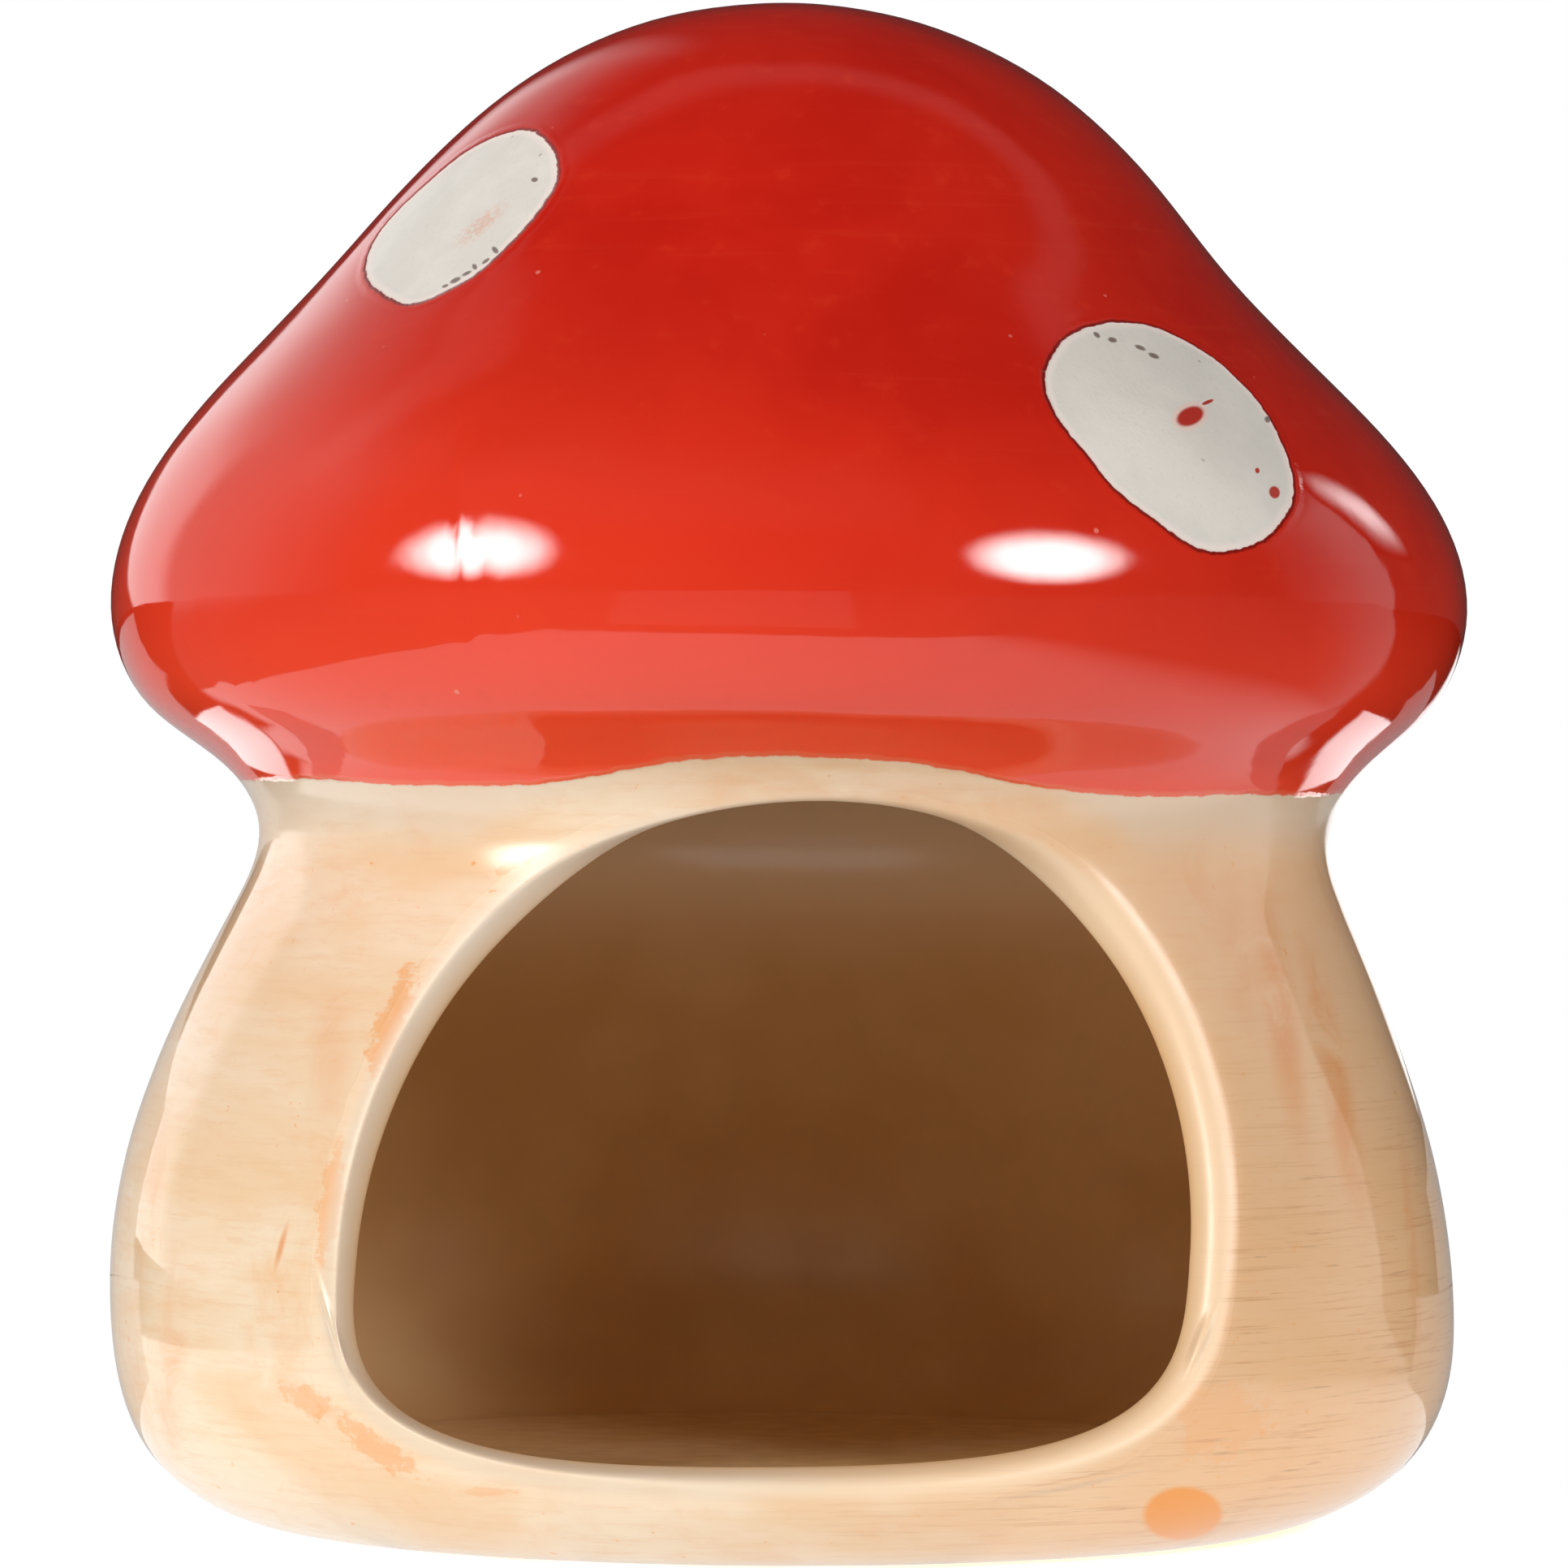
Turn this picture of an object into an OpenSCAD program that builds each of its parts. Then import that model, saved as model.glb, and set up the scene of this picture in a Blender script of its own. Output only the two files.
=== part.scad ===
// Ceramic hamster house in the shape of a mushroom: one slip-cast shell with a closed floor and a doorway.
// Millimetres. The house stands on Z = 0 and the doorway faces -Y.

/* [Whole house] */
// overall height, from the foot ring to the crown
tall = 140; // [130:1:160]
// width over the brim of the cap, left to right
brim_w = 125; // [118:1:140]
// depth over the brim of the cap, front to back
brim_d = 118; // [104:1:134]
// height of the widest line of the brim
brim_z = 84; // [81:1:92]
// sideways unevenness of the casting, 0 is a perfectly even house
drift_factor = 1; // [0:0.25:2]

/* [Stem] */
// width at the crease under the cap
waist_w = 98.8; // [92:0.2:108]
// height of the crease under the cap
waist_z = 64; // [60:0.5:67]
// width over the widest line of the stem
stem_w = 124; // [116:1:134]
// height of the widest line of the stem
stem_z = 21; // [17:1:26]

/* [Shell and foot] */
// thickness of the ceramic wall
wall = 5; // [3.5:0.5:6.5]
// height of the floor inside
floor_z = 6.5; // [6.5:0.5:8]
// outside width of the foot ring
foot_w = 89.2; // [80:0.2:98]
// width of the flat band the house stands on
foot_band = 6.5; // [3:0.5:12]
// how far the underside is hollowed inside the foot ring
recess = 1.4; // [0.6:0.2:2]

/* [Doorway] */
// clear width of the doorway at its widest
door_w = 73.6; // [62:0.1:80]
// clear height of the doorway
door_h = 57.8; // [50:0.2:59.6]
// height of the sill, the lowest point of the doorway
sill_z = 9.2; // [8.4:0.2:10.8]
// height of the widest line of the doorway above the sill
door_wide = 18; // [12:0.5:24]
// sideways place of the doorway's middle at its widest line
door_x = -0.9; // [-5:0.1:5]
// how far the arch leans to the right over the height of the doorway
door_lean = 4.6; // [-5:0.1:6]
// how full the arch is, 2 is a half ellipse
arch_power = 2.02; // [1.8:0.01:2.6]
// how square the lower corners are, 2 is a half ellipse
corner_power = 3.3; // [2:0.1:4]
// how much wider the cut is at the front of the wall than at its back
cut_flare = -0.6; // [-2:0.1:2]
// how far the cut is skewed between the back of the wall and its front
cut_skew = 1; // [0:0.1:2]
// direction of that skew in degrees, 0 is to the right and 90 is up
cut_toward = 48; // [0:1:359]
// width of the rounding of the doorway's front edge on the left, where it is crisp
front_round = 0.4; // [0.4:0.1:2]
// width of the same rounding on the right, where it is a soft roll
front_roll = 2.8; // [0.8:0.1:4]
// width of the rounding of the doorway's back edge
back_round = 1.6; // [1.2:0.1:3]
// how square these roundings are, 2 is a quarter ellipse
round_power = 2.5; // [2:0.1:4]

/* [Hidden] */

// The outer line is a smooth curve through these points, from the foot to the crown. Each row has the share
// of the way from one named size to the next, first in half-width and then in height, and the sideways drift.
foot_curve = [[0, 0, -1.4], [0.49, 0.11, -0.9], [0.84, 0.37, -0.3], [0.977, 0.69, -0.2]];
stem_curve = [[0, 0, -0.4], [0.1, 0.26, -0.6], [0.46, 0.58, -0.3], [0.83, 0.82, 0.1]];
neck_curve = [[0, 0, 0.5], [0.19, 0.24, 0.6], [0.74, 0.55, 0.1]];
cap_curve = [[0, 0, 0], [0.043, 0.18, -0.3], [0.168, 0.36, -1.1], [0.32, 0.535, -1.2], [0.456, 0.715, -0.8],
    [0.6, 0.86, -0.6], [0.79, 0.966, -0.6], [1, 1, -0.4]];

function between(shares, from, to) = [for (s = shares)
    [from[0] + s[0] * (to[0] - from[0]), from[1] + s[1] * (to[1] - from[1]), s[2] * drift_factor]];

foot = [foot_w / 2, 0];
stem = [stem_w / 2, stem_z];
waist = [waist_w / 2, waist_z];
brim = [brim_w / 2, brim_z];
knots = concat(between(foot_curve, foot, stem), between(stem_curve, stem, waist),
    between(neck_curve, waist, brim), between(cap_curve, brim, [0, tall]));
last = len(knots) - 1;
brim_knot = last - len(cap_curve) + 1;

// A cubic spline through the knots, level at both ends. Bends are its second derivatives.
gap = [for (i = [0:last - 1]) norm([knots[i + 1][0] - knots[i][0], knots[i + 1][1] - knots[i][1]])];
function chord(i) = (knots[i + 1] - knots[i]) / gap[i];
function pull(i) = 6 * ((i == last ? [-1, 0, 0] : chord(i)) - (i == 0 ? [1, 0, 0] : chord(i - 1)));
function sweep(i = 0, done = []) = i > last ? done :
    let (below = i == 0 ? 0 : gap[i - 1], above = i == last ? 0 : gap[i],
        before = i == 0 ? [0, [0, 0, 0]] : done[i - 1], m = 2 * (below + above) - below * before[0])
    sweep(i + 1, concat(done, [[above / m, (pull(i) - below * before[1]) / m]]));
swept = sweep();
function unwind(i, done) = i < 0 ? done : unwind(i - 1, concat([swept[i][1] - swept[i][0] * done[0]], done));
bends = unwind(last - 1, [swept[last][1]]);

// Half-width, height and drift of the outer line at place u, where the whole numbers are the knots.
function span(u) = min(floor(u), last - 1);
function line_at(u) = let (i = span(u), b = u - i, a = 1 - b)
    a * knots[i] + b * knots[i + 1]
    + ((a * a * a - a) * bends[i] + (b * b * b - b) * bends[i + 1]) * gap[i] * gap[i] / 6;
function slope_at(u) = let (i = span(u), b = u - i, a = 1 - b)
    chord(i) + ((1 - 3 * a * a) * bends[i] + (3 * b * b - 1) * bends[i + 1]) * gap[i] / 6;

// A point of the shell at place u and angle a, sunk into the wall by the given depth.
flat = brim_d / brim_w;
function lift(u) = (floor_z - wall) * pow(max(0, 1 - u / 2), 2);
function skin(u, a, depth) =
    let (p = line_at(u), g = slope_at(u),
        out = [flat * g[1] * cos(a), g[1] * sin(a), -flat * (g[0] + g[2] * cos(a))])
    [p[2] + p[0] * cos(a), flat * p[0] * sin(a), p[1] + lift(u) * depth / wall] - depth * out / norm(out);

// The whole shell is a net of rows and columns. A field of it round the doorway is left out and filled by a
// collar of rings, which run from the outer net over the rounded edge of the doorway to the inner net.
columns = 64;
rows = 2 * last;
side = 10;
first_column = columns * 3 / 4 - side;
low = 2;
high = 2 * brim_knot;
around = 2 * (2 * side + high - low);

function angle(j) = 360 * j / columns;
function net(i, j, depth) = skin(i / 2, angle(j), depth);
function in_field(i, j) = i >= low && i < high && j >= first_column && j < first_column + 2 * side;

// Row and column of point k on the edge of that field, walking round it.
function edge(k) = let (w = 2 * side, h = high - low)
    k < w ? [low, first_column + k] :
    k < w + h ? [low + k - w, first_column + w] :
    k < 2 * w + h ? [high, first_column + 2 * w + h - k] :
    [high - (k - 2 * w - h), first_column];

// The doorway's clear outline, grown by the given width, seen from the front in direction w from its middle.
mid_z = sill_z + door_wide;
function reach(w, more) = let (p = sin(w) > 0 ? arch_power : corner_power, a = door_w / 2 + more,
        b = more + (sin(w) > 0 ? door_h - door_wide : door_wide))
    pow(pow(abs(cos(w)) / a, p) + pow(abs(sin(w)) / b, p), -1 / p);

// Place and angle of the point halfway through the wall that the front view shows at x and z.
heights = [for (u = [0:0.25:brim_knot + 1]) [line_at(u)[1], u]];
function place(x, z, tx, tz, tries = 8) =
    let (u = lookup(tz, heights), p = line_at(u), a = -acos((tx - p[2]) / p[0]))
    tries == 0 ? [u, a] : let (m = skin(u, a, wall / 2)) place(x, z, tx + x - m[0], tz + z - m[2], tries - 1);

// Directions of the collar's edge from the doorway's middle. Each is evened out with its neighbours, so that
// they keep their order at the corners of the field.
collar_edge = [for (k = [0:around - 1]) [edge(k)[0] / 2, angle(edge(k)[1]) - 360]];
seen = [for (q = collar_edge) let (p = skin(q[0], q[1], 0)) atan2(p[2] - mid_z, p[0] - door_x)];
function apart(k, j) = let (turn = seen[(k + j + around) % around] - seen[k]) turn - 360 * round(turn / 360);
evening = [1, 2, 3, 4, 5, 4, 3, 2, 1] / 25;
aims = [for (k = [0:around - 1]) seen[k] + evening * [for (j = [-4:4]) apart(k, j)]];

// A ring of places round the doorway. The outline is grown by left and right on its two sides, and by the
// given share of half the cut's own widening.
function cut(w) = (cut_flare + cut_skew * cos(w - cut_toward)) / 2;
function doorway(left, right, share) = [for (w = aims)
    let (r = reach(w, left + (right - left) * pow((1 + cos(w)) / 2, 1.5) + share * cut(w)),
        x = door_x + r * cos(w) + door_lean * r * sin(w) / door_h, z = mid_z + r * sin(w))
    place(x, z, x, z)];
door_front = doorway(front_round, front_roll, 1);
door_back = doorway(back_round, back_round, -1);

// Rings of the collar: steps across the outer skin, the rounded edge of the wall, which is narrowest halfway
// through it, and steps back across the inner skin.
steps = 5;
round_steps = 3;
function on_skin(places, s, depth) = let (t = pow(s / steps, 0.8)) [for (k = [0:around - 1])
    let (q = collar_edge[k] + t * (places[k] - collar_edge[k])) skin(q[0], q[1], depth)];
function at_depth(places, depth) = [for (q = places) skin(q[0], q[1], depth)];
function front_edge(w) = let (out = pow(cos(w), 2 / round_power), in = 1 - pow(sin(w), 2 / round_power))
    at_depth(doorway(front_round * in, front_roll * in, out), wall / 2 * (1 - out));
function back_edge(w) = let (out = pow(cos(w), 2 / round_power), in = 1 - pow(sin(w), 2 / round_power))
    at_depth(doorway(back_round * in, back_round * in, -out), wall / 2 * (1 + out));
collar = concat([for (s = [1:steps]) on_skin(door_front, s, 0)],
    [for (s = [1:round_steps]) front_edge(90 * s / round_steps)],
    [for (s = [round_steps - 1:-1:1]) back_edge(90 * s / round_steps)],
    [for (s = [steps:-1:1]) on_skin(door_back, s, wall)]);

// Rings of the underside, inside the foot ring's outer edge.
function under_ring(r, z) = [for (j = [0:columns - 1])
    [knots[0][2] + r * cos(angle(j)), flat * r * sin(angle(j)), z]];
under = [under_ring(foot_w / 2 - foot_band, 0), under_ring(foot_w / 2 - foot_band - 2 * recess, recess)];

// All points: both nets, the underside, the collar, and the four points that close the crown, the ceiling,
// the floor and the underside.
points = concat(
    [for (i = [0:rows - 1]) for (j = [0:columns - 1]) net(i, j, 0)],
    [for (i = [0:rows - 1]) for (j = [0:columns - 1]) net(i, j, wall)],
    [for (r = under) each r], [for (r = collar) each r],
    [skin(last, 0, 0), skin(last, 0, wall), [knots[0][2], 0, floor_z], [knots[0][2], 0, recess]]);

inner_at = rows * columns;
under_at = 2 * inner_at;
collar_at = under_at + 2 * columns;
crown_at = collar_at + len(collar) * around;

function at(start, i, j) = start + i * columns + j % columns;
function collar_point(r, k) = let (m = k % around) r == 0 ? at(0, edge(m)[0], edge(m)[1]) :
    r == len(collar) + 1 ? at(inner_at, edge(m)[0], edge(m)[1]) : collar_at + (r - 1) * around + m;
function patch(a, b, c, d) = [[a, b, c], [a, c, d]];

faces = concat(
    // the outer and the inner net, without the field
    [for (i = [0:rows - 2]) for (j = [0:columns - 1]) if (!in_field(i, j))
        each patch(at(0, i, j), at(0, i + 1, j), at(0, i + 1, j + 1), at(0, i, j + 1))],
    [for (i = [0:rows - 2]) for (j = [0:columns - 1]) if (!in_field(i, j))
        each patch(at(inner_at, i, j + 1), at(inner_at, i + 1, j + 1),
            at(inner_at, i + 1, j), at(inner_at, i, j))],
    // the crown, the ceiling, the floor and the underside
    [for (j = [0:columns - 1]) [at(0, rows - 1, j), crown_at, at(0, rows - 1, j + 1)]],
    [for (j = [0:columns - 1]) [at(inner_at, rows - 1, j + 1), crown_at + 1, at(inner_at, rows - 1, j)]],
    [for (j = [0:columns - 1]) [at(inner_at, 0, j), crown_at + 2, at(inner_at, 0, j + 1)]],
    [for (j = [0:columns - 1])
        each patch(at(under_at, 0, j), at(0, 0, j), at(0, 0, j + 1), at(under_at, 0, j + 1))],
    [for (j = [0:columns - 1])
        each patch(at(under_at, 1, j), at(under_at, 0, j), at(under_at, 0, j + 1), at(under_at, 1, j + 1))],
    [for (j = [0:columns - 1]) [crown_at + 3, at(under_at, 1, j), at(under_at, 1, j + 1)]],
    // the collar
    [for (r = [0:len(collar)]) for (k = [0:around - 1])
        each patch(collar_point(r, k), collar_point(r + 1, k),
            collar_point(r + 1, k + 1), collar_point(r, k + 1))]);

module house() {
    color("#d8563f") polyhedron(points, faces, convexity = 8);
}

house();
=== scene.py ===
import math

import bpy
import numpy as np
from mathutils import Matrix, Vector


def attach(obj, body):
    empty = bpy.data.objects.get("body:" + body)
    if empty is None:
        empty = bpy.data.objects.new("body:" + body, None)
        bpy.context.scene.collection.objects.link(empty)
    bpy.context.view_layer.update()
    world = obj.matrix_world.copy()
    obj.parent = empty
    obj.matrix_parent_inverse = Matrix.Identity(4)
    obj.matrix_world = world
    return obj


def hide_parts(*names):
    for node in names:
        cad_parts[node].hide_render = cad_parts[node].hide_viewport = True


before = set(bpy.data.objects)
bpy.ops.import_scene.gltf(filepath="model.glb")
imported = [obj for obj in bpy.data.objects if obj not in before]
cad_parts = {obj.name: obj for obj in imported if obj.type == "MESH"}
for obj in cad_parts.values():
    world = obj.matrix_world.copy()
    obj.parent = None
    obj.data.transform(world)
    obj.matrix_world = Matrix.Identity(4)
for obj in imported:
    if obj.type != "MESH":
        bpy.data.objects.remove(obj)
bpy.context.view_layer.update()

# The sizes are those of the part's source, in millimetres. Points go to Blender in metres.
TALL, BRIM_W, BRIM_D, BRIM_Z = 140.0, 125.0, 118.0, 84.0
WAIST_W, WAIST_Z, STEM_W, STEM_Z = 98.8, 64.0, 124.0, 21.0
WALL, FLOOR_Z, FOOT_W, FOOT_BAND, RECESS = 5.0, 6.5, 89.2, 6.5, 1.4
DOOR_W, DOOR_H, SILL_Z, DOOR_WIDE, DOOR_X, DOOR_LEAN = 73.6, 57.8, 9.2, 18.0, -0.9, 4.6
ARCH, CORNER = 2.02, 3.3
CUT_FLARE, CUT_SKEW, CUT_TOWARD = -0.6, 1.0, math.radians(48)
FRONT_ROUND, FRONT_ROLL, BACK_ROUND, ROUND_POWER = 0.4, 2.8, 1.6, 2.5
FLAT = BRIM_D / BRIM_W

# Rows of the outer line's four stretches: the share of the way from a stretch's start to its end,
# sideways and upwards, and the drift to +X in mm.
FOOT_CURVE = [(0, 0, -1.4), (0.49, 0.11, -0.9), (0.84, 0.37, -0.3), (0.977, 0.69, -0.2)]
STEM_CURVE = [(0, 0, -0.4), (0.1, 0.26, -0.6), (0.46, 0.58, -0.3), (0.83, 0.82, 0.1)]
NECK_CURVE = [(0, 0, 0.5), (0.19, 0.24, 0.6), (0.74, 0.55, 0.1)]
CAP_CURVE = [(0, 0, 0), (0.043, 0.18, -0.3), (0.168, 0.36, -1.1), (0.32, 0.535, -1.2),
             (0.456, 0.715, -0.8), (0.6, 0.86, -0.6), (0.79, 0.966, -0.6), (1, 1, -0.4)]


def between(shares, start, end):
    """Half-width, height and drift at the rows of the stretch from start to end."""
    return [(start[0] + a * (end[0] - start[0]), start[1] + b * (end[1] - start[1]), c)
            for a, b, c in shares]


foot, stem = (FOOT_W / 2, 0.0), (STEM_W / 2, STEM_Z)
waist, brim = (WAIST_W / 2, WAIST_Z), (BRIM_W / 2, BRIM_Z)
knots = np.array(between(FOOT_CURVE, foot, stem) + between(STEM_CURVE, stem, waist)
                 + between(NECK_CURVE, waist, brim) + between(CAP_CURVE, brim, (0.0, TALL)))
last = len(knots) - 1
brim_knot = last - len(CAP_CURVE) + 1
gap = np.hypot(*np.diff(knots[:, :2], axis=0).T)


def bend_knots():
    """Second derivatives of a cubic spline through the knots that is level at both ends."""
    a, b = np.zeros((last + 1, last + 1)), np.zeros((last + 1, 3))
    chord = np.diff(knots, axis=0) / gap[:, None]
    for i in range(last + 1):
        below, above = (gap[i - 1] if i else 0.0), (gap[i] if i < last else 0.0)
        a[i, i] = 2 * (below + above)
        if i:
            a[i, i - 1] = below
        if i < last:
            a[i, i + 1] = above
        after = chord[i] if i < last else np.array([-1.0, 0, 0])
        before = chord[i - 1] if i else np.array([1.0, 0, 0])
        b[i] = 6 * (after - before)
    return np.linalg.solve(a, b)


bends = bend_knots()


def line(u):
    """Half-width, height and drift of the outer line at u, and their slopes."""
    u = np.asarray(u, float)
    i = np.minimum(np.floor(u).astype(int), last - 1)
    b = (u - i)[..., None]
    a, h = 1 - b, gap[i][..., None]
    point = (a * knots[i] + b * knots[i + 1]
             + ((a**3 - a) * bends[i] + (b**3 - b) * bends[i + 1]) * h * h / 6)
    slope = ((knots[i + 1] - knots[i]) / h
             + ((1 - 3 * a * a) * bends[i] + (3 * b * b - 1) * bends[i + 1]) * h / 6)
    return point, slope


def skin(u, a, depth):
    """Points of the shell at place u and angle a (radians), sunk into the wall by depth."""
    p, g = line(u)
    c, s = np.cos(a), np.sin(a)
    out = np.stack([FLAT * g[..., 1] * c, g[..., 1] * s, -FLAT * (g[..., 0] + g[..., 2] * c)], -1)
    out /= np.linalg.norm(out, axis=-1, keepdims=True)
    lift = (FLOOR_Z - WALL) * np.maximum(0, 1 - np.asarray(u) / 2) ** 2 * depth / WALL
    base = np.stack([p[..., 2] + p[..., 0] * c, FLAT * p[..., 0] * s, p[..., 1] + lift], -1)
    return base - np.asarray(depth)[..., None] * out


# The doorway's outline halfway through the wall: direction w from its middle, grown by more.
MID_Z = SILL_Z + DOOR_WIDE


def outline(w, more):
    up = np.sin(w) > 0
    p = np.where(up, ARCH, CORNER)
    a = DOOR_W / 2 + more
    b = more + np.where(up, DOOR_H - DOOR_WIDE, DOOR_WIDE)
    r = (np.abs(np.cos(w) / a) ** p + np.abs(np.sin(w) / b) ** p) ** (-1 / p)
    z = r * np.sin(w)
    return DOOR_X + r * np.cos(w) + DOOR_LEAN * z / DOOR_H, MID_Z + z


fine_u = np.linspace(0, brim_knot + 1, 600)
fine_z = line(fine_u)[0][:, 1]


def place(x, z):
    """Place and angle of the point halfway through the wall that the front shows at x and z."""
    tx, tz = x.copy(), z.copy()
    for _ in range(12):
        u = np.interp(tz, fine_z, fine_u)
        p, _g = line(u)
        a = -np.arccos(np.clip((tx - p[:, 2]) / p[:, 0], -1, 1))
        m = skin(u, a, np.full_like(u, WALL / 2))
        tx += x - m[:, 0]
        tz += z - m[:, 2]
    return u, a


def doorway(w, left, right, share):
    """Places round the doorway in the directions w. The outline is grown by left and right on its
    two sides, and by the given share of half the cut's own widening."""
    more = left + (right - left) * ((1 + np.cos(w)) / 2) ** 1.5
    return place(*outline(w, more + share * (CUT_FLARE + CUT_SKEW * np.cos(w - CUT_TOWARD)) / 2))


def door_edge(w, t, left, right, way):
    """A ring of the doorway's rounded edge at t, from 0 on the wall's face to 1 halfway through.
    way is 1 at the front of the wall and -1 at its back."""
    out, across = (f(math.pi / 2 * t) ** (2 / ROUND_POWER) for f in (math.cos, math.sin))
    u, a = doorway(w, left * (1 - across), right * (1 - across), way * out)
    return skin(u, a, np.full_like(w, WALL / 2 * (1 - way * out)))


# The shell is a net of rows and columns. A field of it, SIDE columns to each side of the middle of
# the front, is left out. Rings fill it, from the outer skin over the doorway's edge to the inner
# skin.
COLUMNS, PER_KNOT, SIDE = 240, 8, 38
OUTER_RINGS, LIP, INNER_RINGS = 26, 9, 16
# The mould seam crosses the brim left of the middle. Angles are turned from +X, as the columns are.
SEAM_ANGLE, SEAM_SPREAD = math.radians(270 - 27.5), math.radians(4)
ROWS = PER_KNOT * last
LOW, HIGH = PER_KNOT, PER_KNOT * brim_knot
FIRST = COLUMNS * 3 // 4 - SIDE
W, H = 2 * SIDE, HIGH - LOW
AROUND = 2 * (W + H)


def edge(k):
    """Row and column of point k on the edge of the field, counted round it."""
    if k < W:
        return LOW, FIRST + k
    if k < W + H:
        return LOW + k - W, FIRST + W
    if k < 2 * W + H:
        return HIGH, FIRST + 2 * W + H - k
    return HIGH - (k - 2 * W - H), FIRST


def column_angles():
    """Angles of the columns, which lie closer together at the mould seam."""
    even = 2 * np.pi * np.arange(COLUMNS) / COLUMNS
    away = (even - SEAM_ANGLE) / SEAM_SPREAD
    return even - 0.7 * SEAM_SPREAD * np.tanh(away) * np.exp(-((away / 5) ** 2))


def even_out(w, reach=16):
    """Directions w, each evened out with its neighbours within reach, so that they keep their order
    at the corners of the field."""
    out = w.copy()
    for j in range(-reach, reach + 1):
        turned = np.roll(w, -j) - w
        turned -= 2 * np.pi * np.round(turned / (2 * np.pi))
        out += (reach + 1 - abs(j)) / (reach + 1) ** 2 * turned
    return out


def build_house():
    angles = column_angles()
    uu, aa = np.meshgrid(np.arange(ROWS) / PER_KNOT, angles, indexing="ij")
    parts, fields, faces = [], [], []
    start = [0]

    def add(points, side):
        """Adds a block of points. side is 0 on the outer skin, 1 on the inner one, between them on
        the lip and 2 underneath."""
        first = start[0]
        points = points.reshape(-1, 3)
        parts.append(points)
        fields.append(np.broadcast_to(np.asarray(side, float), (len(points),)).copy())
        start[0] += len(points)
        return first

    outer = add(skin(uu, aa, np.zeros_like(uu)), 0)
    inner = add(skin(uu, aa, np.full_like(uu, WALL)), 1)

    edges = [edge(k) for k in range(AROUND)]
    eu = np.array([e[0] for e in edges]) / PER_KNOT
    ea = angles[np.array([e[1] for e in edges]) % COLUMNS] - 2 * np.pi
    rim = skin(eu, ea, np.zeros_like(eu))
    w = even_out(np.arctan2(rim[:, 2] - MID_Z, rim[:, 0] - DOOR_X))
    ou, oa = doorway(w, FRONT_ROUND, FRONT_ROLL, 1)
    iu, ia = doorway(w, BACK_ROUND, BACK_ROUND, -1)
    zero, full = np.zeros_like(w), np.full_like(w, WALL)
    rings = []
    for s in range(1, OUTER_RINGS + 1):
        t = (s / OUTER_RINGS) ** 0.75
        rings.append((skin(eu + t * (ou - eu), ea + t * (oa - ea), zero), 0))
    for s in range(1, LIP + 1):
        rings.append((door_edge(w, s / LIP, FRONT_ROUND, FRONT_ROLL, 1), 0.5 * s / LIP))
    nose = rings[-1][0]
    for s in range(LIP - 1, -1, -1):
        rings.append((door_edge(w, s / LIP, BACK_ROUND, BACK_ROUND, -1), 1 - 0.5 * s / LIP))
    for s in range(1, INNER_RINGS):
        t = 1 - s / INNER_RINGS
        rings.append((skin(eu + t * (iu - eu), ea + t * (ia - ea), full), 1))
    ring_start = [add(points, side) for points, side in rings]

    def ring_point(r, k):
        k %= AROUND
        if r == 0:
            return outer + edges[k][0] * COLUMNS + edges[k][1] % COLUMNS
        if r == len(rings) + 1:
            return inner + edges[k][0] * COLUMNS + edges[k][1] % COLUMNS
        return ring_start[r - 1] + k

    def in_field(i, j):
        return LOW <= i < HIGH and FIRST <= j < FIRST + W

    for i in range(ROWS - 1):
        for j in range(COLUMNS):
            if in_field(i, j):
                continue
            k = (j + 1) % COLUMNS
            row, above = i * COLUMNS, (i + 1) * COLUMNS
            a, b, c, d = row + j, row + k, above + k, above + j
            faces.append((outer + a, outer + b, outer + c, outer + d))
            faces.append((inner + d, inner + c, inner + b, inner + a))
    for r in range(len(rings) + 1):
        for k in range(AROUND):
            faces.append((ring_point(r, k), ring_point(r, k + 1),
                          ring_point(r + 1, k + 1), ring_point(r + 1, k)))

    # Crown, floor and underside close with rings of their own.
    ends = np.array([float(last)]), np.array([0.0])
    crown = add(skin(*ends, np.zeros(1)), 0)
    crown_in = add(skin(*ends, np.full(1, WALL)), 1)
    shift = knots[0][2]
    top = (ROWS - 1) * COLUMNS
    for j in range(COLUMNS):
        k = (j + 1) % COLUMNS
        faces.append((outer + top + j, outer + top + k, crown))
        faces.append((inner + top + k, inner + top + j, crown_in))

    def close(first_ring, radii, side, flip):
        below = first_ring
        for r, z in radii:
            points = np.stack([shift + r * np.cos(angles), FLAT * r * np.sin(angles),
                               np.full(COLUMNS, z)], -1)
            ring = add(points, side)
            for j in range(COLUMNS):
                k = (j + 1) % COLUMNS
                quad = (below + j, ring + j, ring + k, below + k)
                faces.append(quad if flip else quad[::-1])
            below = ring
        tip = add(np.array([[shift, 0.0, radii[-1][1]]]), side)
        for j in range(COLUMNS):
            k = (j + 1) % COLUMNS
            tri = (below + j, tip, below + k)
            faces.append(tri if flip else tri[::-1])

    r0 = FOOT_W / 2
    close(inner, [(r0 - step, FLOOR_Z) for step in (3, 9, 20, 32)], 1, False)
    band = r0 - FOOT_BAND
    recess = band - 2 * RECESS
    close(outer, [(r0 - 0.8, 0.0), (r0 - 3.2, 0.0), (band + 0.7, 0.0), (band + 0.2, 0.06),
                  (band - 0.2, 0.3), (recess + 0.5, RECESS - 0.22), (recess, RECESS - 0.04),
                  (recess - 0.8, RECESS), (band - 12, RECESS), (band - 24, RECESS)], 2, True)

    return np.concatenate(parts), np.concatenate(fields), faces, nose, outer


points, side, faces, nose, net = build_house()


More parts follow.
